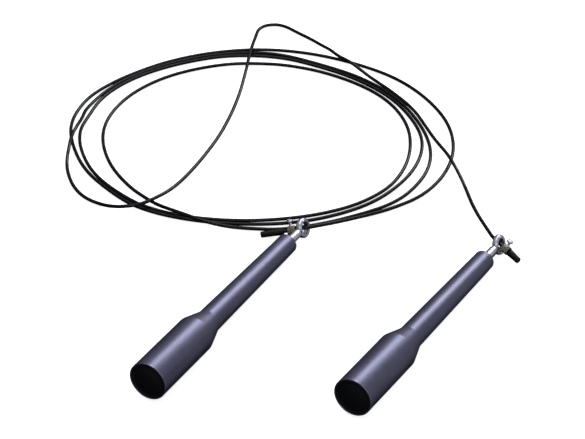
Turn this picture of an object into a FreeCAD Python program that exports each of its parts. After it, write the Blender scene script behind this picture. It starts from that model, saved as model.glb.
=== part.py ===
"""Speed jump rope: two aluminium handles on ball bearings and one coated wire cable laid in a loose coil.

Units are millimetres. The rope lies on the floor plane z = 0, x runs to the right, y runs away from
the two handle bases and z is up. The origin is on the floor under the middle of the two handles.
Each handle is designed in its own frame: z runs from the base face to the cable eye.
"""
import FreeCAD, Part
import math
import os
import Sketcher

V = FreeCAD.Vector
doc = FreeCAD.newDocument("jump_rope")
os.makedirs("parts", exist_ok=True)

# ---------------------------------------------------------------- dimensions
sheet = doc.addObject("Spreadsheet::Sheet", "p")
DIMS = [
    ("grip_len", 169.0, "grip shell, base face to front face"),
    ("barrel_rad", 12.2, "barrel radius"),
    ("barrel_end", 54.0, "end of the straight barrel"),
    ("neck_start", 68.8, "end of the cone"),
    ("slim_rad", 7.8, "slim grip radius behind"),
    ("front_rad", 6.7, "slim grip radius at the front face"),
    ("rim_cham", 0.7, "edge break of the rims"),
    ("plug_seat_rad", 10.8, "seat of the base plug"),
    ("plug_seat_depth", 4.4, "depth of that seat"),
    ("cavity_rad", 10.2, "hollow of the barrel"),
    ("cavity_end", 49.0, "end of the hollow"),
    ("bore_start", 65.0, "start of the through bore"),
    ("bore_rad", 4.6, "through bore"),
    ("seat_start", 148.0, "shoulder behind the rear bearing"),
    ("seat_rad", 5.5, "bearing seat"),
    ("race_in", 2.5, "bearing bore radius"),
    ("brg_width", 4.0, "bearing width"),
    ("pitch_rad", 4.0, "ball pitch radius"),
    ("ball_rad", 0.8, "ball radius"),
    ("race_rad", 0.83, "raceway groove radius"),
    ("inner_od", 3.45, "outside radius of the inner ring"),
    ("outer_id", 4.55, "inside radius of the outer ring"),
    ("front_brg", 163.0, "rear face of the front bearing"),
    ("shaft_rad", 3.0, "visible shaft radius"),
    ("journal_rad", 2.5, "journal radius"),
    ("shaft_back", 145.2, "rear end of the shaft"),
    ("shoulder", 167.0, "shoulder against the front inner ring"),
    ("neck_taper", 182.4, "start of the taper into the eye"),
    ("shaft_tip", 185.0, "end of that taper, inside the eye"),
    ("eye_pos", 190.0, "centre of the eye"),
    ("eye_rad", 6.55, "outside radius of the eye"),
    ("eye_hole", 4.0, "hole radius of the eye"),
    ("eye_half", 1.9, "half the thickness of the eye"),
    ("eye_cham", 0.6, "edge break of the eye"),
    ("clip_groove", 2.05, "groove radius for the retaining ring"),
    ("cable_rad", 1.2, "coated cable radius"),
    ("collar_rad", 2.9, "cable collar radius"),
    ("collar_bore", 1.3, "cable collar bore radius"),
    ("cap_rad", 2.35, "vinyl end cap radius at its mouth"),
    ("cap_tip", 1.75, "vinyl end cap radius at its tip"),
]
for i, (alias, value, note) in enumerate(DIMS, start=1):
    sheet.set("A%d" % i, note)
    sheet.set("B%d" % i, str(value))
    sheet.setAlias("B%d" % i, alias)
doc.recompute()
D = dict((a, v) for a, v, _ in DIMS)

# ---------------------------------------------------------------- helpers
EXPORT = []


def plane(body, role):
    return [o for o in body.Origin.OriginFeatures if o.Role == role][0]


def value(e):
    """A profile entry is a number or a sheet expression such as 'p.grip_len - 0.5'."""
    if isinstance(e, (int, float)):
        return float(e)
    return float(entry_sum(e))


def entry_sum(e):
    total, sign = 0.0, 1.0
    for word in e.replace("+", " + ").replace("-", " - ").split():
        if word == "+":
            sign = 1.0
        elif word == "-":
            sign = -1.0
        elif word.startswith("p."):
            total += sign * D[word[2:]]
        else:
            total += sign * float(word)
    return total


def closed_sketch(body, name, role, profile, axis_at=None):
    """Closed polygon, every corner held by a horizontal and a vertical distance from the origin."""
    sk = body.newObject("Sketcher::SketchObject", name)
    sk.AttachmentSupport = [(plane(body, role), "")]
    sk.MapMode = "FlatFace"
    pts = [V(value(x), value(y), 0) for x, y in profile]
    n = len(pts)
    for k in range(n):
        sk.addGeometry(Part.LineSegment(pts[k], pts[(k + 1) % n]), False)
    for k in range(n):
        sk.addConstraint(Sketcher.Constraint("Coincident", k, 2, (k + 1) % n, 1))
    for k in range(n):
        for kind, comp, e in (("DistanceX", pts[k].x, profile[k][0]), ("DistanceY", pts[k].y, profile[k][1])):
            if abs(comp) < 1e-9:
                ref = -2 if kind == "DistanceX" else -1
                sk.addConstraint(Sketcher.Constraint("PointOnObject", k, 1, ref))
                continue
            c = sk.addConstraint(Sketcher.Constraint(kind, -1, 1, k, 1, comp))
            if not isinstance(e, (int, float)):
                sk.setExpression("Constraints[%d]" % c, e)
    if axis_at is not None:
        y = value(axis_at)
        g = sk.addGeometry(Part.LineSegment(V(-10, y, 0), V(10, y, 0)), True)
        sk.addConstraint(Sketcher.Constraint("Horizontal", g))
        c = sk.addConstraint(Sketcher.Constraint("DistanceY", -1, 1, g, 1, y))
        if not isinstance(axis_at, (int, float)):
            sk.setExpression("Constraints[%d]" % c, axis_at)
    return sk


def new_body(label):
    b = doc.addObject("PartDesign::Body", label)
    b.Label = label
    return b


def revolve(body, name, profile, cut=False):
    """Turned feature: profile is (radius, height) pairs about the body's z axis."""
    sk = closed_sketch(body, name + "_profile", "XZ_Plane", profile)
    kind = "PartDesign::Groove" if cut else "PartDesign::Revolution"
    f = body.newObject(kind, name)
    f.Profile = sk
    f.ReferenceAxis = (sk, ["V_Axis"])
    f.Angle = 360.0
    body.Tip = f
    return f


def finish(obj, placement=None):
    if placement is not None:
        obj.Placement = placement
    EXPORT.append(obj)
    return obj


def frame_from(origin, x_dir, z_dir):
    """Placement whose z axis is z_dir and whose x axis lies as near x_dir as it can."""
    z = V(z_dir).normalize()
    y = z.cross(V(x_dir)).normalize()
    x = y.cross(z).normalize()
    m = FreeCAD.Matrix(x.x, y.x, z.x, origin.x, x.y, y.y, z.y, origin.y, x.z, y.z, z.z, origin.z, 0, 0, 0, 1)
    return FreeCAD.Placement(m)


# ---------------------------------------------------------------- where the two handles lie
# Each handle rests on the front edge of its barrel and on its eye, so it leans forward and its base
# stands a little off the floor.
LEAN = math.asin((D["barrel_rad"] - D["eye_rad"] - 0.04) / (D["eye_pos"] - D["barrel_end"] + 0.5))
HANDLES = {
    "left": {"base": (-105.298, -76.545), "heading": 28.4174, "eye_roll": -18.0},
    "right": {"base": (12.345, -91.127), "heading": 30.9564, "eye_roll": -18.0},
}


def handle_frame(side, roll=0.0):
    h = HANDLES[side]
    az = math.radians(h["heading"])
    axis = V(math.sin(az) * math.cos(LEAN), math.cos(az) * math.cos(LEAN), -math.sin(LEAN))
    across = V(-math.cos(az), math.sin(az), 0)
    base = V(h["base"][0], h["base"][1],
             D["barrel_rad"] * math.cos(LEAN) + (D["barrel_end"] - 0.5) * math.sin(LEAN))
    place = frame_from(base, across, axis)
    if roll:
        # the eye is turned about the handle axis, seen from the base towards the eye
        place = place.multiply(FreeCAD.Placement(V(0, 0, 0), FreeCAD.Rotation(V(0, 0, 1), roll)))
    return place


def grip_shell(side):
    """Turned aluminium grip: barrel, cone and slim front, hollow behind and bored for two bearings."""
    b = new_body(side + "_grip_shell")
    revolve(b, side + "_shell_turning", [
        ("p.plug_seat_rad", 0.0), ("p.barrel_rad - p.rim_cham", 0.0), ("p.barrel_rad", "p.rim_cham"),
        ("p.barrel_rad", "p.barrel_end - 0.5"), ("p.barrel_rad - 0.16", "p.barrel_end + 0.2"),
        ("p.slim_rad + 0.20", "p.neck_start - 0.5"), ("p.slim_rad", "p.neck_start + 0.4"),
        ("p.front_rad + 0.005", "p.grip_len - 0.5"), ("p.front_rad - 0.4", "p.grip_len"),
        ("p.seat_rad", "p.grip_len"), ("p.seat_rad", "p.seat_start"), ("p.bore_rad", "p.seat_start"),
        ("p.bore_rad", "p.bore_start"), ("p.cavity_rad", "p.cavity_end"),
        ("p.cavity_rad", "p.plug_seat_depth"), ("p.plug_seat_rad", "p.plug_seat_depth")])
    return finish(b, handle_frame(side))


def base_plug(side):
    """Moulded black plug pressed into the base, hollow behind, face level with the rim."""
    b = new_body(side + "_base_plug")
    revolve(b, side + "_plug_turning", [
        (0.0, 0.0), (10.25, 0.0), ("p.plug_seat_rad", 0.55), ("p.plug_seat_rad", "p.plug_seat_depth"),
        ("p.cavity_rad", "p.plug_seat_depth"), ("p.cavity_rad", 11.0), (9.8, 11.4), (8.8, 11.4),
        (8.8, 3.0), (0.0, 3.0)])
    return finish(b, handle_frame(side))


def ring_profile(z0, inner):
    """Half section of a bearing ring with its raceway, as (radius, height) corners."""
    w, c = D["brg_width"], D["pitch_rad"]
    r = D["race_rad"]
    mid = z0 + w / 2.0
    if inner:
        edge = D["inner_od"]
        half = math.sqrt(r * r - (c - edge) ** 2)
        pts = [(D["race_in"], z0 + 0.15), (D["race_in"] + 0.15, z0), (edge, z0), (edge, mid - half)]
        a0 = math.atan2(-half, edge - c)
        a1 = math.atan2(half, edge - c)
        a0 = a0 if a0 > 0 else a0 + 2 * math.pi
        steps = 10
        for k in range(1, steps):
            a = a0 + (a1 - a0) * k / steps
            pts.append((c + r * math.cos(a), mid + r * math.sin(a)))
        pts += [(edge, mid + half), (edge, z0 + w), (D["race_in"] + 0.15, z0 + w), (D["race_in"], z0 + w - 0.15)]
    else:
        edge = D["outer_id"]
        half = math.sqrt(r * r - (edge - c) ** 2)
        a0 = math.atan2(-half, edge - c)
        a1 = math.atan2(half, edge - c)
        out = D["seat_rad"]
        pts = [(edge, z0), (out - 0.15, z0), (out, z0 + 0.15), (out, z0 + w - 0.15), (out - 0.15, z0 + w), (edge, z0 + w),
               (edge, mid + half)]
        steps = 10
        for k in range(1, steps):
            a = a1 + (a0 - a1) * k / steps
            pts.append((c + r * math.cos(a), mid + r * math.sin(a)))
        pts.append((edge, mid - half))
    return pts


def bearing(side, name, z0):
    """Miniature deep-groove ball bearing: two rings, eight balls and a snap cage."""
    place = handle_frame(side)
    b = new_body("%s_%s_bearing_outer_ring" % (side, name))
    revolve(b, "%s_%s_outer_turning" % (side, name), ring_profile(z0, False))
    finish(b, place)
    b = new_body("%s_%s_bearing_inner_ring" % (side, name))
    revolve(b, "%s_%s_inner_turning" % (side, name), ring_profile(z0, True))
    finish(b, place)
    mid = z0 + D["brg_width"] / 2.0
    balls, pockets = [], []
    for k in range(8):
        a = math.radians(22.5 + 45.0 * k)
        c = V(D["pitch_rad"] * math.cos(a), D["pitch_rad"] * math.sin(a), mid)
        s = doc.addObject("Part::Sphere", "%s_%s_ball_%d" % (side, name, k + 1))
        s.setExpression("Radius", "p.ball_rad")
        s.Placement = FreeCAD.Placement(c, FreeCAD.Rotation())
        balls.append(s)
        q = doc.addObject("Part::Sphere", "%s_%s_pocket_%d" % (side, name, k + 1))
        q.setExpression("Radius", "p.ball_rad + 0.06")
        q.Placement = FreeCAD.Placement(c, FreeCAD.Rotation())
        pockets.append(q)
    group = doc.addObject("Part::Compound", "%s_%s_bearing_balls" % (side, name))
    group.Links = balls
    group.Label = "%s_%s_bearing_balls" % (side, name)
    finish(group, place)
    outer = doc.addObject("Part::Cylinder", "%s_%s_cage_blank" % (side, name))
    outer.setExpression("Radius", "p.pitch_rad + 0.25")
    outer.Height = 2.4
    outer.Placement = FreeCAD.Placement(V(0, 0, mid - 1.2), FreeCAD.Rotation())
    inner = doc.addObject("Part::Cylinder", "%s_%s_cage_bore" % (side, name))
    inner.setExpression("Radius", "p.pitch_rad - 0.25")
    inner.Height = 4.0
    inner.Placement = FreeCAD.Placement(V(0, 0, mid - 2.0), FreeCAD.Rotation())
    tube = doc.addObject("Part::Cut", "%s_%s_cage_tube" % (side, name))
    tube.Base, tube.Tool = outer, inner
    fuse = doc.addObject("Part::Compound", "%s_%s_cage_pockets" % (side, name))
    fuse.Links = pockets
    cage = doc.addObject("Part::Cut", "%s_%s_bearing_cage" % (side, name))
    cage.Base, cage.Tool = tube, fuse
    cage.Label = "%s_%s_bearing_cage" % (side, name)
    finish(cage, place)


def sleeve(side, label, r0, r1, z0, z1, cham=0.1):
    b = new_body("%s_%s" % (side, label))
    revolve(b, "%s_%s_turning" % (side, label), [
        (r0, z0), (r1, z0), (r1, z1), (r0, z1)])
    return finish(b, handle_frame(side))


def shaft_with_eye(side):
    """Steel spindle: journal for both bearings, shoulder, neck and the flat eye the cable runs through."""
    b = new_body(side + "_shaft_with_eye")
    g = "p.clip_groove"
    revolve(b, side + "_shaft_turning", [
        (0.0, "p.shaft_back"), (2.2, "p.shaft_back"), ("p.journal_rad", "p.shaft_back + 0.3"),
        ("p.journal_rad", 147.2), (g, 147.2), (g, 147.85), ("p.journal_rad", 147.85),
        ("p.journal_rad", "p.shoulder"), ("p.shaft_rad", "p.shoulder"), ("p.shaft_rad", "p.neck_taper"),
        (2.1, "p.shaft_tip"), (0.0, "p.shaft_tip")])
    hole, rad, half, ch = D["eye_hole"], D["eye_rad"], D["eye_half"], D["eye_cham"]
    sk = closed_sketch(b, side + "_eye_profile", "XZ_Plane", [
        ("p.eye_half - p.eye_cham", "p.eye_pos + p.eye_hole"), ("p.eye_half", "p.eye_pos + p.eye_hole + p.eye_cham"),
        ("p.eye_half", "p.eye_pos + p.eye_rad - 1.0"), ("p.eye_half - 0.3", "p.eye_pos + p.eye_rad - 0.3"),
        ("p.eye_half - 1.0", "p.eye_pos + p.eye_rad"),
        ("1.0 - p.eye_half", "p.eye_pos + p.eye_rad"), ("0.3 - p.eye_half", "p.eye_pos + p.eye_rad - 0.3"),
        ("0 - p.eye_half", "p.eye_pos + p.eye_rad - 1.0"),
        ("0 - p.eye_half", "p.eye_pos + p.eye_hole + p.eye_cham"), ("p.eye_cham - p.eye_half", "p.eye_pos + p.eye_hole")],
        axis_at="p.eye_pos")
    ring = b.newObject("PartDesign::Revolution", side + "_eye_ring")
    ring.Profile = sk
    ring.ReferenceAxis = (sk, ["Axis0"])
    ring.Angle = 360.0
    b.Tip = ring
    return finish(b, handle_frame(side, HANDLES[side]["eye_roll"]))


def retaining_ring(side):
    """External circlip that keeps the spindle in the bearings."""
    b = new_body(side + "_retaining_ring")
    sk = closed_sketch(b, side + "_clip_profile", "XZ_Plane", [
        ("p.clip_groove + 0.02", 147.25), (3.7, 147.25), (3.7, 147.8), ("p.clip_groove + 0.02", 147.8)])
    f = b.newObject("PartDesign::Revolution", side + "_clip_turning")
    f.Profile = sk
    f.ReferenceAxis = (sk, ["V_Axis"])
    f.Angle = 300.0
    b.Tip = f
    return finish(b, handle_frame(side))


# ---------------------------------------------------------------- the cable
# Straight runs joined by tangent arcs. Start and end runs lie in the two end caps.
ROUTE = [
    (-41.14, 89.42, 2.05),
    (-26.98, 90.20, 3.95),
    (-10.70, 90.60, 7.00),
    (6.18, 100.30, 4.07),
    (17.66, 106.78, 2.67),
    (28.95, 113.26, 1.45),
    (44.34, 120.89, 1.25),
    (65.33, 135.94, 1.25),
    (81.45, 161.22, 1.25),
    (90.15, 192.07, 1.25),
    (88.42, 227.00, 1.25),
    (74.96, 261.13, 1.25),
    (53.96, 290.13, 1.25),
    (25.10, 311.10, 1.25),
    (-8.29, 326.35, 1.25),
    (-43.47, 332.59, 1.25),
    (-78.95, 328.21, 1.25),
    (-112.69, 315.05, 1.25),
    (-141.77, 293.81, 1.25),
    (-160.72, 273.81, 1.25),
    (-171.13, 256.03, 1.25),
    (-177.89, 228.63, 1.25),
    (-174.77, 201.66, 1.25),
    (-163.08, 166.99, 1.25),
    (-142.42, 139.36, 1.25),
    (-124.75, 121.70, 1.25),
    (-96.37, 108.69, 1.25),
    (-60.36, 102.00, 1.25),
    (-25.95, 102.68, 1.25),
    (3.29, 110.61, 1.25),
    (32.38, 127.36, 1.25),
    (53.38, 153.05, 1.25),
    (65.15, 178.73, 1.25),
    (69.09, 205.30, 1.25),
    (62.99, 233.00, 1.25),
    (48.39, 263.59, 1.25),
    (23.34, 290.13, 1.25),
    (-6.00, 308.65, 1.25),
    (-29.28, 319.75, 1.25),
    (-57.54, 323.21, 1.25),
    (-83.90, 319.52, 1.25),
    (-116.95, 305.06, 1.25),
    (-141.92, 285.74, 1.25),
    (-158.55, 262.53, 1.25),
    (-165.66, 237.64, 1.25),
    (-170.87, 216.83, 1.25),
    (-167.15, 190.04, 1.25),
    (-155.52, 160.24, 1.25),
    (-134.11, 134.73, 1.25),
    (-116.11, 120.14, 1.25),
    (-87.39, 109.41, 1.25),
    (-51.94, 105.54, 1.25),
    (-16.03, 109.83, 1.25),
    (14.71, 121.11, 1.25),
    (35.65, 137.09, 1.25),
    (49.19, 155.39, 1.25),
    (59.06, 184.45, 1.25),
    (60.51, 220.00, 1.25),
    (50.33, 252.36, 1.25),
    (31.06, 277.54, 1.25),
    (2.30, 298.04, 1.25),
    (-25.23, 308.67, 1.25),
    (-47.74, 311.19, 1.25),
    (-70.55, 310.42, 1.25),
    (-97.84, 301.16, 1.25),
    (-120.46, 286.93, 1.25),
    (-140.43, 264.19, 1.25),
    (-152.60, 234.86, 1.25),
    (-154.42, 206.03, 1.25),
    (-146.50, 174.00, 1.25),
    (-131.79, 147.22, 1.25),
    (-118.28, 131.90, 1.25),
    (-110.29, 121.37, 3.46),
    (-102.21, 112.27, 6.45),
    (-90.82, 105.84, 6.21),
    (-81.08, 99.57, 6.36),
    (-71.33, 98.13, 4.06),
    (-62.94, 99.36, 1.25),
    (-49.13, 97.25, 1.25),
    (-28.92, 95.94, 1.25),
    (-1.22, 102.80, 1.25),
    (25.84, 115.22, 1.25),
    (43.43, 125.58, 1.25),
    (57.78, 141.22, 1.25),
    (70.95, 167.37, 1.25),
    (74.26, 196.97, 1.25),
    (66.75, 231.40, 1.25),
    (51.91, 263.99, 1.25),
    (27.91, 291.26, 1.25),
    (-2.60, 310.52, 1.25),
    (-29.75, 324.38, 1.25),
    (-53.20, 327.59, 1.25),
    (-85.75, 322.80, 1.25),
    (-119.08, 307.48, 1.25),
    (-144.10, 287.68, 1.25),
    (-158.33, 268.14, 1.25),
    (-164.82, 253.85, 1.59),
    (-168.60, 241.43, 3.04),
    (-169.25, 228.54, 4.99),
    (-171.86, 215.85, 6.33),
    (-174.46, 203.09, 6.08),
    (-174.87, 190.01, 6.49),
    (-175.71, 177.48, 2.73),
    (-174.08, 164.33, 1.25),
    (-168.53, 146.35, 1.25),
    (-159.76, 132.97, 1.25),
    (-147.60, 124.85, 1.25),
    (-138.10, 118.29, 4.17),
    (-129.02, 115.75, 6.36),
    (-119.54, 119.53, 6.12),
    (-111.63, 126.54, 6.12),
    (-105.05, 137.26, 3.42),
    (-99.04, 148.67, 1.73),
    (-92.89, 160.79, 1.25),
    (-83.87, 180.51, 1.25),
    (-72.47, 210.94, 1.25),
    (-65.41, 238.35, 1.25),
    (-61.63, 256.82, 1.41),
    (-59.13, 269.75, 2.61),
    (-56.91, 282.31, 5.30),
    (-55.26, 295.17, 6.28),
    (-54.11, 308.14, 6.11),
    (-52.93, 321.11, 6.29),
    (-52.03, 334.05, 5.20),
    (-49.31, 346.95, 2.68),
    (-45.15, 357.18, 1.44),
    (-38.20, 363.37, 1.25),
    (-28.91, 362.88, 1.25),
    (-19.34, 357.16, 1.25),
    (-8.17, 347.03, 1.25),
    (0.03, 335.74, 2.54),
    (6.23, 324.50, 4.75),
    (12.86, 313.39, 6.31),
    (21.49, 303.57, 6.37),
    (30.08, 294.20, 3.47),
    (39.13, 284.97, 1.25),
    (49.67, 270.81, 1.25),
    (64.21, 246.86, 1.25),
    (71.75, 222.77, 1.25),
    (76.19, 207.81, 1.59),
    (79.76, 195.38, 3.15),
    (82.96, 182.99, 5.59),
    (86.33, 170.42, 6.56),
    (90.48, 158.39, 3.90),
    (93.98, 146.03, 1.25),
    (96.24, 130.04, 1.43),
    (98.48, 116.96, 2.26),
    (100.99, 104.26, 3.63),
    (103.69, 91.68, 5.57),
    (106.40, 76.00, 8.70),
    (116.10, 65.50, 5.00),
    (121.10, 60.20, 2.60),

]


def cable_edges(points):
    pts = [V(*q) for q in points]
    edges, radii = [], []
    last = pts[0]
    for i in range(1, len(pts) - 1):
        a, c, b = pts[i - 1], pts[i], pts[i + 1]
        d0, d1 = (c - a), (b - c)
        l0, l1 = d0.Length, d1.Length
        d0.normalize()
        d1.normalize()
        turn = math.acos(max(-1.0, min(1.0, d0.dot(d1))))
        cut = 0.45 * min(l0, l1)
        radius = cut / math.tan(turn / 2.0)
        radii.append((radius, i, math.degrees(turn)))
        p0 = c - d0 * cut
        p1 = c + d1 * cut
        inward = (d1 - d0).normalize()
        centre = c + inward * (radius / math.cos(turn / 2.0))
        mid = centre - inward * radius
        edges.append(Part.LineSegment(last, p0).toShape())
        edges.append(Part.Arc(p0, mid, p1).toShape())
        last = p1
    edges.append(Part.LineSegment(last, pts[-1]).toShape())
    return edges, radii


def tube_along(edges, radius):
    wire = Part.Wire(edges)
    start = edges[0].valueAt(edges[0].FirstParameter)
    direction = edges[0].tangentAt(edges[0].FirstParameter)
    section = Part.Wire([Part.makeCircle(radius, start, direction)])
    return wire.makePipeShell([section], True, False), wire


# ---------------------------------------------------------------- build
for side in ("left", "right"):
    grip_shell(side)
    base_plug(side)
    bearing(side, "rear", D["seat_start"])
    bearing(side, "front", D["front_brg"])
    sleeve(side, "outer_spacer", 4.75, "p.seat_rad", 152.0, 163.0)
    sleeve(side, "inner_spacer", "p.race_in", 3.3, 152.0, 163.0)
    sleeve(side, "front_seal", 3.5, "p.seat_rad", 167.0, "p.grip_len - 0.2")
    shaft_with_eye(side)
    retaining_ring(side)

edges, radii = cable_edges(ROUTE)
solid, wire = tube_along(edges, D["cable_rad"])
cable = doc.addObject("Part::Feature", "wire_cable")
cable.Shape = solid
cable.Label = "wire_cable"
EXPORT.append(cable)
print("cable length %.1f mm, volume %.1f mm3, section x length %.1f mm3" % (
    wire.Length, solid.Volume, math.pi * D["cable_rad"] ** 2 * wire.Length))
print("smallest bend radii:", [(round(r, 1), i, round(t, 1)) for r, i, t in sorted(radii)[:8]])

pts = [V(*q) for q in ROUTE]
ENDS = {
    # point where the collar starts, direction towards the free end, head direction of the clamp screw
    "left": {"p1": pts[1], "p2": pts[2], "p0": pts[0], "start": 9.2, "len": 5.6, "screw": V(0.10, 0.30, 1.0)},
    "right": {"p1": pts[-2], "p2": pts[-3], "p0": pts[-1], "start": 9.0, "len": 5.6, "screw": V(0.14, 0.25, 1.0)},
}
for side in ("left", "right"):
    e = ENDS[side]
    along = (e["p1"] - e["p2"]).normalize()
    start = e["p2"] + along * e["start"]
    place = frame_from(start, e["screw"], along)
    # collar: knurled brass sleeve with a threaded cross hole
    body = new_body(side + "_cable_collar")
    L = e["len"]
    revolve(body, side + "_collar_turning", [
        ("p.collar_bore", 0.0), ("p.collar_rad - 0.45", 0.0), ("p.collar_rad", 0.45), ("p.collar_rad", L - 0.45),
        ("p.collar_rad - 0.45", L), ("p.collar_bore", L)])
    knurl = closed_sketch(body, side + "_knurl_profile", "XY_Plane", [
        ("p.collar_rad - 0.28", 0.0), ("p.collar_rad + 0.3", -0.34), ("p.collar_rad + 0.3", 0.34)])
    cutk = body.newObject("PartDesign::Pocket", side + "_knurl_groove")
    cutk.Profile = knurl
    cutk.Length = L + 2.0
    cutk.Reversed = True
    body.Tip = cutk
    pat = body.newObject("PartDesign::PolarPattern", side + "_knurl")
    pat.Originals = [cutk]
    pat.Axis = (plane(body, "Z_Axis"), [""])
    pat.Angle = 360.0
    pat.Occurrences = 24
    body.Tip = pat
    hole = body.newObject("Sketcher::SketchObject", side + "_collar_hole_profile")
    hole.AttachmentSupport = [(plane(body, "YZ_Plane"), "")]
    hole.MapMode = "FlatFace"
    hole.addGeometry(Part.Circle(V(0, L / 2.0, 0), V(0, 0, 1), 1.03), False)
    hole.addConstraint(Sketcher.Constraint("PointOnObject", 0, 3, -2))
    hole.addConstraint(Sketcher.Constraint("DistanceY", -1, 1, 0, 3, L / 2.0))
    hole.addConstraint(Sketcher.Constraint("Radius", 0, 1.03))
    drill = body.newObject("PartDesign::Pocket", side + "_collar_hole")
    drill.Profile = hole
    drill.Length = 8.0
    drill.Reversed = True
    body.Tip = drill
    finish(body, place)
    # clamp screw: turned about its own z axis, then laid along the collar's x axis
    scr = new_body(side + "_clamp_screw")
    revolve(scr, side + "_screw_turning", [
        (0.0, "p.cable_rad + 0.18"), (0.75, "p.cable_rad + 0.18"), (1.0, "p.cable_rad + 0.43"), (1.0, 5.65),
        (1.95, 5.65), (2.1, 5.9), (2.1, 6.5), (1.75, 7.1), (1.1, 7.45), (0.0, 7.55)])
    slot = closed_sketch(scr, side + "_slot_profile", "XY_Plane", [
        (-2.4, -0.28), (2.4, -0.28), (2.4, 0.28), (-2.4, 0.28)])
    sc = scr.newObject("PartDesign::Pocket", side + "_screw_slot")
    slot.AttachmentOffset = FreeCAD.Placement(V(0, 0, 8.1), FreeCAD.Rotation())
    sc.Profile = slot
    sc.Length = 1.45
    scr.Tip = sc
    turn = FreeCAD.Placement(V(0, 0, L / 2.0), FreeCAD.Rotation(V(0, 1, 0), 90))
    finish(scr, place.multiply(turn))
    # end cap: dipped vinyl, blind, over the cut end of the cable
    tip = (e["p0"] - e["p1"])
    cap_axis = V(tip).normalize()
    run = tip.Length
    off = 0.35
    total = run - off + 1.3
    cap = new_body(side + "_end_cap")
    revolve(cap, side + "_cap_turning", [
        (0.0, run - off + 0.02), ("p.cable_rad", run - off + 0.02), ("p.cable_rad", 0.0), ("p.cap_rad - 0.3", 0.0), ("p.cap_rad", 0.35),
        ("p.cap_tip", total - 1.0), ("p.cap_tip - 0.2", total - 0.5), ("p.cap_tip - 0.6", total - 0.12),
        ("p.cap_tip - 1.05", total), (0.0, total)])
    finish(cap, frame_from(e["p1"] + cap_axis * off, V(0, 0, 1), cap_axis))

doc.recompute()

# ---------------------------------------------------------------- checks and export
bad = []
for o in doc.Objects:
    if any(s in ("Invalid", "Error") for s in o.State):
        bad.append((o.Name, list(o.State)))
if bad:
    raise RuntimeError("features with errors: %s" % bad)
for o in EXPORT:
    s = o.Shape
    if s.isNull() or not s.isValid() or s.Volume <= 0 or len(s.Solids) < 1:
        raise RuntimeError("bad shape in %s" % o.Label)
    print("%-34s solids %d  volume %9.2f  z %.2f..%.2f" % (o.Label, len(s.Solids), s.Volume, s.BoundBox.ZMin, s.BoundBox.ZMax))
box = FreeCAD.BoundBox()
for o in EXPORT:
    if o.Label.endswith(("wire_cable", "_end_cap", "_cable_collar", "_clamp_screw")):
        continue
    box.add(o.Shape.BoundBox)
print("box without the cord:", box)
for o in EXPORT:
    o.Shape.exportStep("parts/%s.step" % o.Label)
print(len(EXPORT), "nodes")
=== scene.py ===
"""Speed jump rope: looks. Everything is in metres, in the row frame."""
import math

import bmesh
import bpy
from mathutils import Matrix, Vector, noise


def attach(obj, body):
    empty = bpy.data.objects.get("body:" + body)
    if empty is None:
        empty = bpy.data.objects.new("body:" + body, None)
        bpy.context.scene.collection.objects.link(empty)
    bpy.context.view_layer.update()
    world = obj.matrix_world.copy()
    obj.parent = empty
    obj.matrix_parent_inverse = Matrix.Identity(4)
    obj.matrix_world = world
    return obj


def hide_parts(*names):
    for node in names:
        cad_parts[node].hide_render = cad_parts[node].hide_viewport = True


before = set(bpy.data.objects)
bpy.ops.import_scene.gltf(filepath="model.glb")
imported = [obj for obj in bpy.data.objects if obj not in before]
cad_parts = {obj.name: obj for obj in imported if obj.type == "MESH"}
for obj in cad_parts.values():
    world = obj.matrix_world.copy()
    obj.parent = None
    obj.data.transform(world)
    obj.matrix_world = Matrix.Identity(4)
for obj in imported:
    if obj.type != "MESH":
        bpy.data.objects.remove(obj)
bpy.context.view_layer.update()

MM = 0.001

# ------------------------------------------------------------------ camera
cam_data = bpy.data.cameras.new("camera")
cam = bpy.data.objects.new("camera", cam_data)
bpy.context.scene.collection.objects.link(cam)
cam_data.sensor_width = 36.0
cam_data.lens = 125.69
cam_data.clip_start, cam_data.clip_end = 0.05, 20.0
cam.location = (-0.02175, -0.99410, 0.756335)
cam.rotation_euler = (math.radians(90.0 - 34.4227), 0.0, 0.0)
bpy.context.scene.camera = cam

# ------------------------------------------------------------------ sizes, millimetres
GRIP_LEN, BARREL_R, BARREL_END, NECK, SLIM_R, FRONT_R = 169.0, 12.2, 54.0, 68.8, 7.8, 6.7
EYE_R, EYE_AT = 6.55, 190.0
CABLE_R = 1.2
LEAN = math.asin((BARREL_R - EYE_R - 0.04) / (EYE_AT - BARREL_END + 0.5))
HANDLES = {
    "left": {"base": (-0.105298, -0.076545), "heading": 28.4174, "eye_roll": -18.0},
    "right": {"base": (0.012345, -0.091127), "heading": 30.9564, "eye_roll": -18.0},
}

PEAK = [(122, 0.13, -0.37), (123, 1.43, 2.86), (124, 0.13, 2.96), (125, -2.4, 5.65), (126, -2.85, 6.19), (127, -0.52, 6.76),
        (128, 2.8, -1.22), (129, 0.1, 0.61), (130, -0.16, 0.06), (131, 0.5, 0.14), (132, -1.12, -0.21)]
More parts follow.
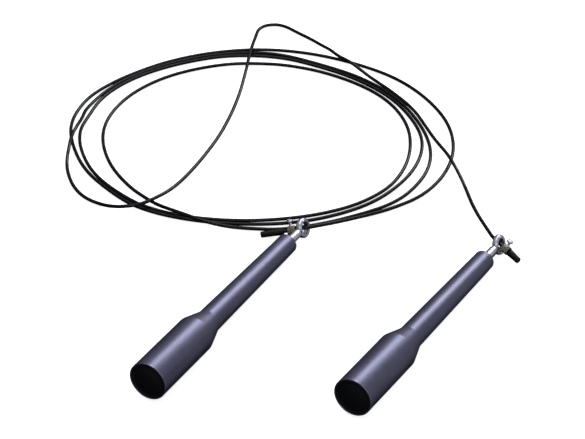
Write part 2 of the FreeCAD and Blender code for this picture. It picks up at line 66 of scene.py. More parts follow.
# the cable's route, the same points as the CAD tube
ROUTE = [
    (-0.04114, 0.08942, 0.00205), (-0.02698, 0.09020, 0.00395), (-0.01070, 0.09060, 0.00700),
    (0.00618, 0.10030, 0.00407), (0.01766, 0.10678, 0.00267), (0.02895, 0.11326, 0.00145),
    (0.04434, 0.12089, 0.00125), (0.06533, 0.13594, 0.00125), (0.08145, 0.16122, 0.00125),
    (0.09015, 0.19207, 0.00125), (0.08842, 0.22700, 0.00125), (0.07496, 0.26113, 0.00125),
    (0.05396, 0.29013, 0.00125), (0.02510, 0.31110, 0.00125), (-0.00829, 0.32635, 0.00125),
    (-0.04347, 0.33259, 0.00125), (-0.07895, 0.32821, 0.00125), (-0.11269, 0.31505, 0.00125),
    (-0.14177, 0.29381, 0.00125), (-0.16072, 0.27381, 0.00125), (-0.17113, 0.25603, 0.00125),
    (-0.17789, 0.22863, 0.00125), (-0.17477, 0.20166, 0.00125), (-0.16308, 0.16699, 0.00125),
    (-0.14242, 0.13936, 0.00125), (-0.12475, 0.12170, 0.00125), (-0.09637, 0.10869, 0.00125),
    (-0.06036, 0.10200, 0.00125), (-0.02595, 0.10268, 0.00125), (0.00329, 0.11061, 0.00125),
    (0.03238, 0.12736, 0.00125), (0.05338, 0.15305, 0.00125), (0.06515, 0.17873, 0.00125),
    (0.06909, 0.20530, 0.00125), (0.06299, 0.23300, 0.00125), (0.04839, 0.26359, 0.00125),
    (0.02334, 0.29013, 0.00125), (-0.00600, 0.30865, 0.00125), (-0.02928, 0.31975, 0.00125),
    (-0.05754, 0.32321, 0.00125), (-0.08390, 0.31952, 0.00125), (-0.11695, 0.30506, 0.00125),
    (-0.14192, 0.28574, 0.00125), (-0.15855, 0.26253, 0.00125), (-0.16566, 0.23764, 0.00125),
    (-0.17087, 0.21683, 0.00125), (-0.16715, 0.19004, 0.00125), (-0.15552, 0.16024, 0.00125),
    (-0.13411, 0.13473, 0.00125), (-0.11611, 0.12014, 0.00125), (-0.08739, 0.10941, 0.00125),
    (-0.05194, 0.10554, 0.00125), (-0.01603, 0.10983, 0.00125), (0.01471, 0.12111, 0.00125),
    (0.03565, 0.13709, 0.00125), (0.04919, 0.15539, 0.00125), (0.05906, 0.18445, 0.00125),
    (0.06051, 0.22000, 0.00125), (0.05033, 0.25236, 0.00125), (0.03106, 0.27754, 0.00125),
    (0.00230, 0.29804, 0.00125), (-0.02523, 0.30867, 0.00125), (-0.04774, 0.31119, 0.00125),
    (-0.07055, 0.31042, 0.00125), (-0.09784, 0.30116, 0.00125), (-0.12046, 0.28693, 0.00125),
    (-0.14043, 0.26419, 0.00125), (-0.15260, 0.23486, 0.00125), (-0.15442, 0.20603, 0.00125),
    (-0.14650, 0.17400, 0.00125), (-0.13179, 0.14722, 0.00125), (-0.11828, 0.13190, 0.00125),
    (-0.11029, 0.12137, 0.00346), (-0.10221, 0.11227, 0.00645), (-0.09082, 0.10584, 0.00621),
    (-0.08108, 0.09957, 0.00636), (-0.07133, 0.09813, 0.00406), (-0.06294, 0.09936, 0.00125),
    (-0.04913, 0.09725, 0.00125), (-0.02892, 0.09594, 0.00125), (-0.00122, 0.10280, 0.00125),
    (0.02584, 0.11522, 0.00125), (0.04343, 0.12558, 0.00125), (0.05778, 0.14122, 0.00125),
    (0.07095, 0.16737, 0.00125), (0.07426, 0.19697, 0.00125), (0.06675, 0.23140, 0.00125),
    (0.05191, 0.26399, 0.00125), (0.02791, 0.29126, 0.00125), (-0.00260, 0.31052, 0.00125),
    (-0.02975, 0.32438, 0.00125), (-0.05320, 0.32759, 0.00125), (-0.08575, 0.32280, 0.00125),
    (-0.11908, 0.30748, 0.00125), (-0.14410, 0.28768, 0.00125), (-0.15833, 0.26814, 0.00125),
    (-0.16482, 0.25385, 0.00159), (-0.16860, 0.24143, 0.00304), (-0.16925, 0.22854, 0.00499),
    (-0.17186, 0.21585, 0.00633), (-0.17446, 0.20309, 0.00608), (-0.17487, 0.19001, 0.00649),
    (-0.17571, 0.17748, 0.00273), (-0.17408, 0.16433, 0.00125), (-0.16853, 0.14635, 0.00125),
    (-0.15976, 0.13297, 0.00125), (-0.14760, 0.12485, 0.00125), (-0.13810, 0.11829, 0.00417),
    (-0.12902, 0.11575, 0.00636), (-0.11954, 0.11953, 0.00612), (-0.11163, 0.12654, 0.00612),
    (-0.10505, 0.13726, 0.00342), (-0.09904, 0.14867, 0.00173), (-0.09289, 0.16079, 0.00125),
    (-0.08387, 0.18051, 0.00125), (-0.07247, 0.21094, 0.00125), (-0.06541, 0.23835, 0.00125),
    (-0.06163, 0.25682, 0.00141), (-0.05913, 0.26975, 0.00261), (-0.05691, 0.28231, 0.00530),
    (-0.05526, 0.29517, 0.00628), (-0.05411, 0.30814, 0.00611), (-0.05293, 0.32111, 0.00629),
    (-0.05203, 0.33405, 0.00520), (-0.04931, 0.34695, 0.00268), (-0.04515, 0.35718, 0.00144),
    (-0.03820, 0.36337, 0.00125), (-0.02891, 0.36288, 0.00125), (-0.01934, 0.35716, 0.00125),
    (-0.00817, 0.34703, 0.00125), (0.00003, 0.33574, 0.00254), (0.00623, 0.32450, 0.00475),
    (0.01286, 0.31339, 0.00631), (0.02149, 0.30357, 0.00637), (0.03008, 0.29420, 0.00347),
    (0.03913, 0.28497, 0.00125), (0.04967, 0.27081, 0.00125), (0.06421, 0.24686, 0.00125),
    (0.07175, 0.22277, 0.00125), (0.07619, 0.20781, 0.00159), (0.07976, 0.19538, 0.00315),
    (0.08296, 0.18299, 0.00559), (0.08633, 0.17042, 0.00656), (0.09048, 0.15839, 0.00390),
    (0.09398, 0.14603, 0.00125), (0.09624, 0.13004, 0.00143), (0.09848, 0.11696, 0.00226),
    (0.10099, 0.10426, 0.00363), (0.10369, 0.09168, 0.00557), (0.10640, 0.07600, 0.00870),
    (0.11610, 0.06550, 0.00500), (0.12110, 0.06020, 0.00260),
]


# the far peak of the loop stands a little taller than the CAD tube's
for at, dx, dy in PEAK:
    x, y, z = ROUTE[at]
    ROUTE[at] = (x + dx * MM, y + dy * MM, z)


def handle_matrix(side, roll=0.0):
    h = HANDLES[side]
    az = math.radians(h["heading"])
    z = Vector((math.sin(az) * math.cos(LEAN), math.cos(az) * math.cos(LEAN), -math.sin(LEAN)))
    y = z.cross(Vector((-math.cos(az), math.sin(az), 0.0))).normalized()
    x = y.cross(z).normalized()
    o = Vector((h["base"][0], h["base"][1],
                (BARREL_R * math.cos(LEAN) + (BARREL_END - 0.5) * math.sin(LEAN)) * MM))
    m = Matrix(((x.x, y.x, z.x, o.x), (x.y, y.y, z.y, o.y), (x.z, y.z, z.z, o.z), (0, 0, 0, 1)))
    return m @ Matrix.Rotation(math.radians(roll), 4, "Z")


def frame_from(origin, x_dir, z_dir):
    z = Vector(z_dir).normalized()
    y = z.cross(Vector(x_dir)).normalized()
    x = y.cross(z).normalized()
    return Matrix(((x.x, y.x, z.x, origin.x), (x.y, y.y, z.y, origin.y), (x.z, y.z, z.z, origin.z), (0, 0, 0, 1)))


# ------------------------------------------------------------------ materials
class Mat:
    """A small builder for procedural materials."""

    def __init__(self, name, own=True):
        self.m = bpy.data.materials.new(name)
        self.m.use_nodes = True
        self.t = self.m.node_tree
        self.b = self.t.nodes["Principled BSDF"]
        self.co = self.t.nodes.new("ShaderNodeTexCoord")
        if own:
            a = self.t.nodes.new("ShaderNodeAttribute")
            a.attribute_name = "own"
            self.place = a.outputs["Vector"]
        else:
            self.place = self.co.outputs["Object"]

    def put(self, name, v):
        self.b.inputs[name].default_value = v

    def node(self, kind, **kw):
        n = self.t.nodes.new(kind)
        for k, v in kw.items():
            setattr(n, k, v)
        return n

    def link(self, a, b):
        self.t.links.new(a, b)

    def mapping(self, scale):
        n = self.node("ShaderNodeMapping")
        n.inputs["Scale"].default_value = scale
        self.link(self.place, n.inputs["Vector"])
        return n.outputs["Vector"]

    def noise(self, scale, detail=3.0, rough=0.55, stretch=(1, 1, 1)):
        n = self.node("ShaderNodeTexNoise")
        n.inputs["Scale"].default_value = scale
        n.inputs["Detail"].default_value = detail
        n.inputs["Roughness"].default_value = rough
        self.link(self.mapping(stretch), n.inputs["Vector"])
        return n.outputs["Fac"]

    def ramp(self, fac, stops):
        n = self.node("ShaderNodeValToRGB")
        e = n.color_ramp.elements
        while len(e) < len(stops):
            e.new(0.5)
        for i, (p, c) in enumerate(stops):
            e[i].position = p
            e[i].color = (c[0], c[1], c[2], 1.0) if hasattr(c, "__len__") else (c, c, c, 1.0)
        self.link(fac, n.inputs["Fac"])
        return n.outputs["Color"]

    def span(self, fac, lo, hi, a=0.0, b=1.0):
        n = self.node("ShaderNodeMapRange")
        n.inputs["From Min"].default_value = a
        n.inputs["From Max"].default_value = b
        n.inputs["To Min"].default_value = lo
        n.inputs["To Max"].default_value = hi
        self.link(fac, n.inputs["Value"])
        return n.outputs["Result"]

    def mix(self, fac, a, b):
        n = self.node("ShaderNodeMix", data_type="RGBA")
        self.link(fac, n.inputs[0])
        for sock, v in ((n.inputs[6], a), (n.inputs[7], b)):
            if hasattr(v, "links") or hasattr(v, "is_linked"):
                self.link(v, sock)
            else:
                sock.default_value = (v[0], v[1], v[2], 1.0)
        return n.outputs[2]

    def math(self, op, a, b=None):
        n = self.node("ShaderNodeMath", operation=op)
        for i, v in enumerate((a, b)):
            if v is None:
                continue
            if hasattr(v, "is_linked"):
                self.link(v, n.inputs[i])
            else:
                n.inputs[i].default_value = v
        return n.outputs[0]

    def local(self, axis):
        n = self.node("ShaderNodeSeparateXYZ")
        self.link(self.place, n.inputs[0])
        return n.outputs["XYZ".index(axis)]

    def radius(self):
        n = self.node("ShaderNodeSeparateXYZ")
        self.link(self.place, n.inputs[0])
        return self.math("SQRT", self.math("ADD", self.math("MULTIPLY", n.outputs[0], n.outputs[0]),
                                           self.math("MULTIPLY", n.outputs[1], n.outputs[1])))

    def bump(self, height, strength, distance):
        n = self.node("ShaderNodeBump")
        n.inputs["Strength"].default_value = strength
        n.inputs["Distance"].default_value = distance
        self.link(height, n.inputs["Height"])
        last = self.b.inputs["Normal"]
        if last.is_linked:
            self.link(last.links[0].from_socket, n.inputs["Normal"])
        self.link(n.outputs["Normal"], last)

    def color(self, c):
        self.link(c, self.b.inputs["Base Color"])

    def rough(self, r):
        self.link(r, self.b.inputs["Roughness"])


def anodised_grip():
    m = Mat("anodised_grip")
    m.put("Metallic", 0.82)
    m.put("Specular IOR Level", 0.5)
    cloud = m.noise(55.0, 4.0, 0.6)
    grain = m.noise(2600.0, 2.0, 0.6)
    turning = m.noise(1.0, 3.0, 0.6, (40.0, 40.0, 5200.0))
    base = m.ramp(cloud, [(0.30, (0.125, 0.125, 0.190)), (0.52, (0.142, 0.142, 0.215)), (0.74, (0.160, 0.160, 0.238))])
    speck = m.ramp(grain, [(0.36, 0.84), (0.64, 1.0)])
    tint = m.node("ShaderNodeMix", data_type="RGBA", blend_type="MULTIPLY")
    tint.inputs[0].default_value = 1.0
    m.link(base, tint.inputs[6])
    m.link(speck, tint.inputs[7])
    # the base rim is painted lighter: partly polished wear where the handle gets knocked, partly a painted highlight
    # on the rim chamfer
    z = m.local("Z")
    worn_rim_and_highlight = m.span(m.math("ADD", z, m.math("MULTIPLY", m.math("SUBTRACT", m.noise(900.0, 3.0, 0.7), 0.5), 0.0009)), 1.0, 0.0, 0.0002, 0.0009)
    m.color(m.mix(worn_rim_and_highlight, tint.outputs[2], (0.20, 0.20, 0.27)))
    m.rough(m.math("SUBTRACT", m.math("ADD", m.span(cloud, 0.34, 0.40), m.span(turning, -0.03, 0.03)), m.math("MULTIPLY", worn_rim_and_highlight, 0.10)))
    m.bump(turning, 0.10, 0.00002)
    m.bump(grain, 0.16, 0.00002)
    return m.m


def polished_steel(name="polished_steel", rough=0.22):
    m = Mat(name)
    m.put("Metallic", 1.0)
    hair = m.noise(1.0, 3.0, 0.6, (60.0, 60.0, 4200.0))
    cloud = m.noise(240.0, 3.0, 0.6)
    m.color(m.ramp(cloud, [(0.3, (0.60, 0.60, 0.68)), (0.55, (0.70, 0.70, 0.77)), (0.8, (0.76, 0.76, 0.83))]))
    m.rough(m.math("ADD", m.span(cloud, rough - 0.03, rough + 0.05), m.span(hair, -0.03, 0.04)))
    m.bump(hair, 0.08, 0.00001)
    return m.m


def knurled_collar():
    m = Mat("collar_brass")
    m.put("Metallic", 1.0)
    r = m.radius()
    cloud = m.noise(700.0, 3.0, 0.6)
    # painted shade: the knurl's grooves are painted near-black, darker towards the groove bottoms
    groove_shade = m.span(m.math("ADD", r, m.math("MULTIPLY", m.math("SUBTRACT", cloud, 0.5), 0.00012)), 1.0, 0.0, 0.00264, 0.00286)
    crest = m.ramp(cloud, [(0.3, (0.22, 0.21, 0.15)), (0.55, (0.30, 0.29, 0.22)), (0.8, (0.40, 0.39, 0.32))])
    m.color(m.mix(groove_shade, crest, (0.03, 0.028, 0.018)))
    m.rough(m.math("ADD", m.span(groove_shade, 0.24, 0.55), m.span(cloud, -0.03, 0.03)))
    m.bump(cloud, 0.15, 0.00002)
    return m.m


def black_vinyl():
    m = Mat("cap_vinyl")
    m.put("Specular IOR Level", 0.2)
    cloud = m.noise(500.0, 3.0, 0.6)
    peel = m.noise(1500.0, 2.0, 0.5)
    m.color(m.ramp(cloud, [(0.3, (0.003, 0.003, 0.004)), (0.6, (0.005, 0.005, 0.006)), (0.85, (0.009, 0.009, 0.011))]))
    m.rough(m.span(cloud, 0.30, 0.42))
    m.bump(peel, 0.22, 0.00004)
    return m.m


def plug_plastic(name="black_plug", own=True):
    m = Mat(name, own)
    m.put("Specular IOR Level", 0.25)
    grain = m.noise(3000.0, 3.0, 0.6)
    cloud = m.noise(160.0, 3.0, 0.6)
    m.color(m.ramp(cloud, [(0.3, (0.0035, 0.0035, 0.0045)), (0.6, (0.005, 0.005, 0.006)), (0.85, (0.008, 0.008, 0.009))]))
    m.rough(m.span(cloud, 0.52, 0.64))
    m.bump(grain, 0.35, 0.00004)
    return m.m


def cable_coat():
    m = Mat("cable_coat", False)
    m.put("Specular IOR Level", 0.13)
    m.put("Coat Weight", 0.24)
    m.put("Coat Roughness", 0.07)
    # the wire rope's lay shows faintly through the thin coat
    uv = m.node("ShaderNodeSeparateXYZ")
    m.link(m.co.outputs["UV"], uv.inputs[0])
    lay = m.math("SINE", m.math("ADD", m.math("MULTIPLY", uv.outputs[0], LAY_TURNS * 2 * math.pi),
                                m.math("MULTIPLY", uv.outputs[1], 6 * 2 * math.pi)))
    cloud = m.noise(320.0, 4.0, 0.6)
    scuff = m.noise(1900.0, 3.0, 0.7)
    m.color(m.ramp(cloud, [(0.30, (0.0025, 0.0025, 0.003)), (0.55, (0.004, 0.004, 0.0045)), (0.80, (0.007, 0.007, 0.008))]))
    m.rough(m.math("ADD", m.span(cloud, 0.20, 0.30), m.span(scuff, -0.03, 0.06)))
    m.bump(lay, 0.12, 0.00003)
    m.bump(scuff, 0.12, 0.00002)
    return m.m


def ground_steel(name, colors, rough, metallic=1.0, streak=(60.0, 60.0, 3800.0)):
    m = Mat(name, False)
    m.put("Metallic", metallic)
    hair = m.noise(1.0, 3.0, 0.6, streak)
    cloud = m.noise(400.0, 3.0, 0.6)
    m.color(m.ramp(cloud, [(0.3, colors[0]), (0.75, colors[1])]))
    m.rough(m.math("ADD", m.span(cloud, rough - 0.04, rough + 0.05), m.span(hair, -0.04, 0.04)))
    m.bump(hair, 0.2, 0.00002)
    return m.m


LAY_TURNS = 230.0
MATS = {
    "anodised_grip": anodised_grip(),
    "black_plug": plug_plastic(),
    "polished_steel": polished_steel(),
    "screw_steel": polished_steel("screw_steel", 0.16),
    "collar_brass": knurled_collar(),
    "cap_vinyl": black_vinyl(),
    "cable_coat": cable_coat(),
    "seal_black": plug_plastic("seal_black", False),
    "bearing_steel": ground_steel("bearing_steel", ((0.50, 0.50, 0.53), (0.66, 0.66, 0.69)), 0.24),
    "ball_steel": ground_steel("ball_steel", ((0.70, 0.70, 0.72), (0.82, 0.82, 0.84)), 0.10, 1.0, (900.0, 900.0, 900.0)),
    "cage_brass": ground_steel("cage_brass", ((0.52, 0.37, 0.13), (0.66, 0.48, 0.19)), 0.30),
    "spacer_aluminium": ground_steel("spacer_aluminium", ((0.58, 0.58, 0.60), (0.72, 0.72, 0.74)), 0.32),
    "clip_steel": ground_steel("clip_steel", ((0.05, 0.05, 0.055), (0.10, 0.10, 0.105)), 0.45, 0.8),
}


# ------------------------------------------------------------------ mesh helpers
def put(name, bm, material, matrix=None, sharp=35.0, slot=None):
    """A mesh object in place, with hard edges kept where faces meet at more than the sharp angle."""
    bmesh.ops.recalc_face_normals(bm, faces=bm.faces)
    for f in bm.faces:
        f.smooth = True
    lim = math.radians(sharp)
    for e in bm.edges:
        if len(e.link_faces) == 2 and e.calc_face_angle(0.0) > lim:
            e.smooth = False
    me = bpy.data.meshes.new(name)
    bm.to_mesh(me)
    bm.free()
    settle(me, matrix)
    o = bpy.data.objects.new(name, me)
    bpy.context.scene.collection.objects.link(o)
    me.materials.append(MATS[material])
    return o


def settle(me, matrix):
    """Keeps each vertex's own coordinates for the materials, then moves the mesh to its place."""
    a = me.attributes.new("own", "FLOAT_VECTOR", "POINT")
    for v, d in zip(me.vertices, a.data):
        d.vector = v.co
    me.transform(matrix)


def joined(name, bm, other, operation, material, matrix, sharp):
    """Boolean of two meshes in their own frame, then put in place."""
    objs = []
    for k, b in enumerate((bm, other)):
        bmesh.ops.recalc_face_normals(b, faces=b.faces)
        me = bpy.data.meshes.new("part_%d" % k)
        b.to_mesh(me)
        b.free()
        o = bpy.data.objects.new("part_%d" % k, me)
        bpy.context.scene.collection.objects.link(o)
        objs.append(o)
    bo = objs[0].modifiers.new("join", "BOOLEAN")
    bo.operation = operation
    bo.solver = "EXACT"
    bo.object = objs[1]
    bpy.context.view_layer.update()
    me = bpy.data.meshes.new_from_object(objs[0].evaluated_get(bpy.context.evaluated_depsgraph_get()))
    out = bmesh.new()
    out.from_mesh(me)
    for o in objs:
        bpy.data.objects.remove(o)
    return put(name, out, material, matrix, sharp)


def lathe(profile, segments=128, closed=True):
    """Turns (radius, height) points, in millimetres, about z. Points on the axis become poles."""
    bm = bmesh.new()
    rings = []
    for r, z in profile:
        if r < 1e-6:
            rings.append([bm.verts.new((0.0, 0.0, z * MM))])
        else:
            rings.append([bm.verts.new((r * MM * math.cos(2 * math.pi * k / segments),
                                        r * MM * math.sin(2 * math.pi * k / segments), z * MM))
                          for k in range(segments)])
    n = len(rings)
    for i in range(n if closed else n - 1):
        a, b = rings[i], rings[(i + 1) % n]
        if len(a) == 1 and len(b) == 1:
            continue
        for k in range(segments):
            j = (k + 1) % segments
            if len(a) == 1:
                bm.faces.new((a[0], b[k], b[j]))
            elif len(b) == 1:
                bm.faces.new((a[k], b[0], a[j]))
            else:
                bm.faces.new((a[k], b[k], b[j], a[j]))
    return bm


def rounded(points, steps=5):
    """Profile with its corners rounded: each point is (radius, height) or (radius, height, fillet)."""
    out = []
    n = len(points)
    for i, p in enumerate(points):
        if len(p) == 2 or p[2] <= 0:
            out.append((p[0], p[1]))
            continue
        a, b, c = Vector(points[i - 1][:2]), Vector(p[:2]), Vector(points[(i + 1) % n][:2])
        u, v = (a - b), (c - b)
        lu, lv = u.length, v.length
        u.normalize()
        v.normalize()
        ang = math.acos(max(-1.0, min(1.0, u.dot(v))))
        t = min(p[2] / math.tan(ang / 2.0), 0.49 * lu, 0.49 * lv)
        rad = t * math.tan(ang / 2.0)
        centre = b + (u + v).normalized() * (rad / math.sin(ang / 2.0))
        s, e = b + u * t, b + v * t
        a0 = math.atan2(s.y - centre.y, s.x - centre.x)
        a1 = math.atan2(e.y - centre.y, e.x - centre.x)
        da = (a1 - a0 + math.pi) % (2 * math.pi) - math.pi
        for k in range(steps + 1):
            w = a0 + da * k / steps
            out.append((centre.x + rad * math.cos(w), centre.y + rad * math.sin(w)))
    return out


def bevelled(o, width, angle=30.0, segments=3):
    b = o.modifiers.new("edge_break", "BEVEL")
    b.width = width * MM
    b.segments = segments
    b.limit_method = "ANGLE"
    b.angle_limit = math.radians(angle)
    b.harden_normals = True
    return o


# ------------------------------------------------------------------ cable
def cable():
    cu = bpy.data.curves.new("coated_cable", "CURVE")
    cu.dimensions = "3D"
    sp = cu.splines.new("NURBS")
    sp.points.add(len(ROUTE) - 1)
    for q, p in zip(sp.points, ROUTE):
        q.co = (p[0], p[1], p[2], 1.0)
    sp.order_u = 3
    sp.use_endpoint_u = True
    cu.resolution_u = 10
    cu.bevel_depth = CABLE_R * MM
    cu.bevel_resolution = 5
    cu.use_fill_caps = True
    cu.materials.append(MATS["cable_coat"])
    o = bpy.data.objects.new("coated_cable", cu)
    bpy.context.scene.collection.objects.link(o)
    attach(o, "cord_set")
    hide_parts("wire_cable")
    return o


# ------------------------------------------------------------------ handles
def grip(side):
    prof = rounded([
        (10.86, 0.74), (11.5, 0.06, 0.05), (BARREL_R, 0.0, 0.42), (BARREL_R, BARREL_END - 0.2, 3.0), (SLIM_R + 0.1, NECK, 3.0),
        (FRONT_R, GRIP_LEN, 0.42), (5.5, GRIP_LEN, 0.12), (5.5, 148.0), (4.6, 148.0), (4.6, 65.0), (10.2, 49.0),
        (10.2, 4.4), (10.86, 4.4)], 8)
    o = put(side + "_grip_tube", lathe(prof, 160), "anodised_grip", handle_matrix(side), 40.0)
    bevelled(o, 0.08, 50.0)
    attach(o, side + "_grip")
    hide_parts(side + "_grip_shell")
    prof = rounded([
        (0.0, 0.06), (8.9, 0.06), (9.15, 0.22, 0.1), (9.5, 0.22, 0.1), (9.7, 0.0), (11.34, 0.03, 0.12), (10.8, 0.66, 0.1), (10.8, 4.4), (10.2, 4.4),
        (10.2, 11.0), (9.8, 11.4), (8.8, 11.4), (8.8, 3.0), (0.0, 3.0)], 4)
    p = put(side + "_plug_face", lathe(prof, 128, False), "black_plug", handle_matrix(side), 40.0)
    bevelled(p, 0.05, 50.0)
    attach(p, side + "_grip")
    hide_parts(side + "_base_plug")


def shaft(side):
    m = handle_matrix(side, HANDLES[side]["eye_roll"])
    turned = lathe(rounded([
        (0.0, 145.2), (2.5, 145.2, 0.3), (2.5, 147.2), (2.05, 147.2), (2.05, 147.85), (2.5, 147.85),
        (2.5, 167.0), (3.0, 167.0, 0.08), (3.0, 182.0, 1.2), (2.15, 184.6, 1.2), (2.0, 186.2), (0.0, 186.2)], 6), 96, False)
    # flat eye with a rounded rim and a countersunk hole, turned about its own axis
    eye = lathe(rounded([
        (3.78, -1.4, 0.25), (4.2, -1.9, 0.2), (5.3, -1.9, 0.05), (5.42, -1.72, 0.05), (5.6, -1.86, 0.05), (6.15, -1.6, 0.5), (6.55, -0.85, 0.6),
        (6.55, 0.85, 0.6), (6.15, 1.6, 0.5), (5.6, 1.86, 0.05), (5.42, 1.72, 0.05), (5.3, 1.9, 0.05), (4.2, 1.9, 0.2), (3.78, 1.4, 0.25)], 4), 144)
    bmesh.ops.transform(eye, verts=eye.verts, matrix=Matrix.Translation((0, 0, EYE_AT * MM)) @ Matrix.Rotation(math.radians(90), 4, "Y"))
    o = joined(side + "_spindle", turned, eye, "UNION", "polished_steel", m, 38.0)
    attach(o, "cord_set")
    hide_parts(side + "_shaft_with_eye")


# ------------------------------------------------------------------ cable ends
pts = [Vector(p) for p in ROUTE]
ENDS = {
    "left": (pts[1], pts[2], pts[0], 9.2, 5.6, Vector((0.10, 0.30, 1.0))),
    "right": (pts[-2], pts[-3], pts[-1], 9.0, 5.6, Vector((0.14, 0.25, 1.0))),
}


def collar(side):
    p1, p2, p0, start, length, screw = ENDS[side]
    along = (p1 - p2).normalized()
    place = frame_from(p2 + along * start * MM, screw, along)
    # straight-knurled sleeve: 24 ribs that die out at the chamfered ends
    teeth, per = 24, 10
    n = teeth * per
    bm = bmesh.new()
    outer = []
    rows = [(0.0, 2.45, 0.0), (0.18, 2.62, 0.25), (0.45, 2.88, 0.9), (0.7, 2.9, 1.0)]
    rows += [(0.7 + (length - 1.4) * k / 8.0, 2.9, 1.0) for k in range(1, 8)]
    rows += [(length - 0.7, 2.9, 1.0), (length - 0.45, 2.88, 0.9), (length - 0.18, 2.62, 0.25), (length, 2.45, 0.0)]
    for z, r, depth in rows:
        ring = []
        for k in range(n):
            w = (k % per) / per
            v = abs(w - 0.5) * 2.0
            groove = max(0.0, 1.0 - v / 0.62)
            rr = r - 0.27 * depth * (groove ** 1.1)
            a = 2 * math.pi * (k - per / 2.0) / n
            ring.append(bm.verts.new((rr * MM * math.cos(a), rr * MM * math.sin(a), z * MM)))
        outer.append(ring)
    inner = []
    for z, r in ((length, 1.75), (length - 0.35, 1.32), (0.35, 1.32), (0.0, 1.75)):
        inner.append([bm.verts.new((r * MM * math.cos(2 * math.pi * (k - per / 2.0) / n),
                                    r * MM * math.sin(2 * math.pi * (k - per / 2.0) / n), z * MM)) for k in range(n)])
    rings = outer + inner
    for i in range(len(rings)):
        a, b = rings[i], rings[(i + 1) % len(rings)]
        for k in range(n):
            j = (k + 1) % n
            bm.faces.new((a[k], b[k], b[j], a[j]))
    o = put(side + "_knurled_sleeve", bm, "collar_brass", place, 55.0)
    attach(o, "cord_set")
    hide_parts(side + "_cable_collar")
    # screw with rolled thread, pan head and a driver slot
    turn = place @ Matrix.Translation((0, 0, length / 2.0 * MM)) @ Matrix.Rotation(math.radians(90), 4, "Y")
    seg, pitch = 32, 0.4
    z0, z1 = CABLE_R + 0.18, 5.65
    steps = int((z1 - z0) / pitch * 8)
    bm = bmesh.new()
    rings = [[bm.verts.new((0, 0, z0 * MM))]]
    for s in range(steps + 1):
        z = z0 + (z1 - z0) * s / steps
        env = min(1.0, (z - z0) / 0.35) if s else 0.0
        ring = []
        for k in range(seg):
            ph = (z / pitch - k / seg) % 1.0
            r = (0.80 + 0.20 * (1.0 - abs(ph - 0.5) * 2.0)) * (0.78 + 0.22 * env)
            ring.append(bm.verts.new((r * MM * math.cos(2 * math.pi * k / seg), r * MM * math.sin(2 * math.pi * k / seg), z * MM)))
        rings.append(ring)
    head = rounded([(1.0, 5.65), (1.9, 5.65, 0.06), (2.1, 5.9, 0.1), (2.1, 6.45, 0.3), (1.75, 7.1, 0.5), (1.1, 7.45, 0.6)], 4)
    for r, z in head[1:]:
        rings.append([bm.verts.new((r * MM * math.cos(2 * math.pi * k / seg), r * MM * math.sin(2 * math.pi * k / seg), z * MM)) for k in range(seg)])
    rings.append([bm.verts.new((0, 0, 7.55 * MM))])
    for i in range(len(rings) - 1):
        a, b = rings[i], rings[i + 1]
        for k in range(seg):
            j = (k + 1) % seg
            if len(a) == 1:
                bm.faces.new((a[0], b[j], b[k]))
            elif len(b) == 1:
                bm.faces.new((a[k], a[j], b[0]))
            else:
                bm.faces.new((a[k], a[j], b[j], b[k]))
    cutter = bmesh.new()
    bmesh.ops.create_cube(cutter, size=1.0, matrix=Matrix.Translation((0, 0, 7.65 * MM)) @ Matrix.Diagonal((5.0 * MM, 0.56 * MM, 2.0 * MM, 1.0)))
    sc = joined(side + "_pan_screw", bm, cutter, "DIFFERENCE", "screw_steel", turn, 50.0)
    bevelled(sc, 0.05, 60.0, 2)
    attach(sc, side + "_clamp_screw")
    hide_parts(side + "_clamp_screw")
    # vinyl cap
    tip = p0 - p1
    axis = tip.normalized()
    run = tip.length / MM
    off = 0.35
    total = run - off + 1.3
    prof = rounded([(1.25, 0.0), (2.35, 0.0, 0.3), (1.98, total, 1.75), (0.0, total), (0.0, run - off + 0.1),
                    (1.22, run - off + 0.1), (1.22, 0.3)], 6)
    c = put(side + "_tip_cap", lathe(prof, 72), "cap_vinyl", frame_from(p1 + axis * off * MM, (0, 0, 1), axis), 50.0)
    bevelled(c, 0.06, 60.0)
    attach(c, "cord_set")
    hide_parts(side + "_end_cap")
    return o, sc, c


cab = cable()
on_cord = []
for side in ("left", "right"):
    grip(side)
    shaft(side)
    on_cord += list(collar(side))

# ------------------------------------------------------------------ CAD nodes that stay
for name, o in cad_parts.items():
    for ms in o.material_slots:
        key = ms.material.name if ms.material else ""
        for k, v in MATS.items():
            if key.startswith(k):
                ms.link = "OBJECT"
                ms.material = v
                break

# ------------------------------------------------------------------ floor and light
bm = bmesh.new()
bmesh.ops.create_grid(bm, x_segments=8, y_segments=8, size=6.0)
me = bpy.data.meshes.new("studio_floor")
bm.to_mesh(me)
bm.free()
floor = bpy.data.objects.new("studio_floor", me)
bpy.context.scene.collection.objects.link(floor)
floor.location = (0, 0, -0.0002)
fm = Mat("studio_floor", False)
fm.put("Roughness", 0.9)
fm.put("Specular IOR Level", 0.0)
fm.color(fm.ramp(fm.noise(3.0, 2.0), [(0.2, 0.90), (0.8, 0.93)]))
fm.put("Emission Color", (1.0, 1.0, 1.0, 1.0))
fm.put("Emission Strength", 0.78)
me.materials.append(fm.m)
floor.visible_glossy = False
floor.visible_diffuse = False


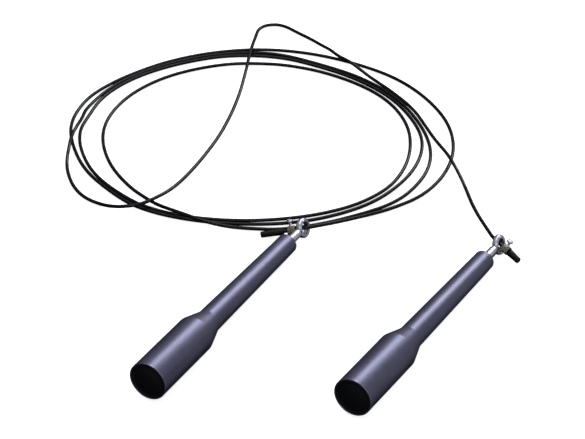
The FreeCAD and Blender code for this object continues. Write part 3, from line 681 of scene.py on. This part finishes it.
def area(name, loc, size, energy, color=(1, 1, 1), aim=(0, 0.1, 0), roll=0.0):
    d = bpy.data.lights.new(name, "AREA")
    d.shape = "RECTANGLE"
    d.size, d.size_y = size
    d.energy = energy
    d.color = color
    o = bpy.data.objects.new(name, d)
    bpy.context.scene.collection.objects.link(o)
    o.location = loc
    o.rotation_mode = "QUATERNION"
    from_aim = (Vector(aim) - Vector(loc)).to_track_quat("-Z", "Y")
    o.rotation_quaternion = from_aim @ Matrix.Rotation(math.radians(roll), 4, "Z").to_quaternion()
    return o


area("back_softbox", (0.72, 1.43, 1.31), (0.68, 1.7), 21.0, (0.98, 0.98, 1.0), roll=-32.0)
area("top_softbox", (-0.35, 0.35, 1.9), (1.2, 1.2), 7.0)
area("front_fill", (0.4, -1.9, 1.5), (1.2, 0.7), 4.0)

# a soft studio surround: pale overhead and to the right, dark low on the left
w = bpy.data.worlds.new("studio")
bpy.context.scene.world = w
w.use_nodes = True
wt = w.node_tree
wc = wt.nodes.new("ShaderNodeTexCoord")
dot = wt.nodes.new("ShaderNodeVectorMath")
dot.operation = "DOT_PRODUCT"
dot.inputs[1].default_value = Vector((0.466, -0.252, 0.848)).normalized()
wt.links.new(wc.outputs["Generated"], dot.inputs[0])
ramp = wt.nodes.new("ShaderNodeValToRGB")
span = wt.nodes.new("ShaderNodeMapRange")
span.inputs["From Min"].default_value = -1.0
span.inputs["From Max"].default_value = 1.0
wt.links.new(dot.outputs["Value"], span.inputs["Value"])
wt.links.new(span.outputs["Result"], ramp.inputs["Fac"])
e = ramp.color_ramp.elements
e[0].position, e[0].color = 0.30, (0.012, 0.012, 0.016, 1)
e[1].position, e[1].color = 0.60, (0.36, 0.36, 0.40, 1)
k = e.new(1.0)
k.color = (0.52, 0.52, 0.56, 1)
wt.links.new(ramp.outputs["Color"], wt.nodes["Background"].inputs["Color"])
wt.nodes["Background"].inputs["Strength"].default_value = 0.9
bpy.context.scene.view_settings.view_transform = "Standard"
bpy.context.scene.view_settings.look = "None"
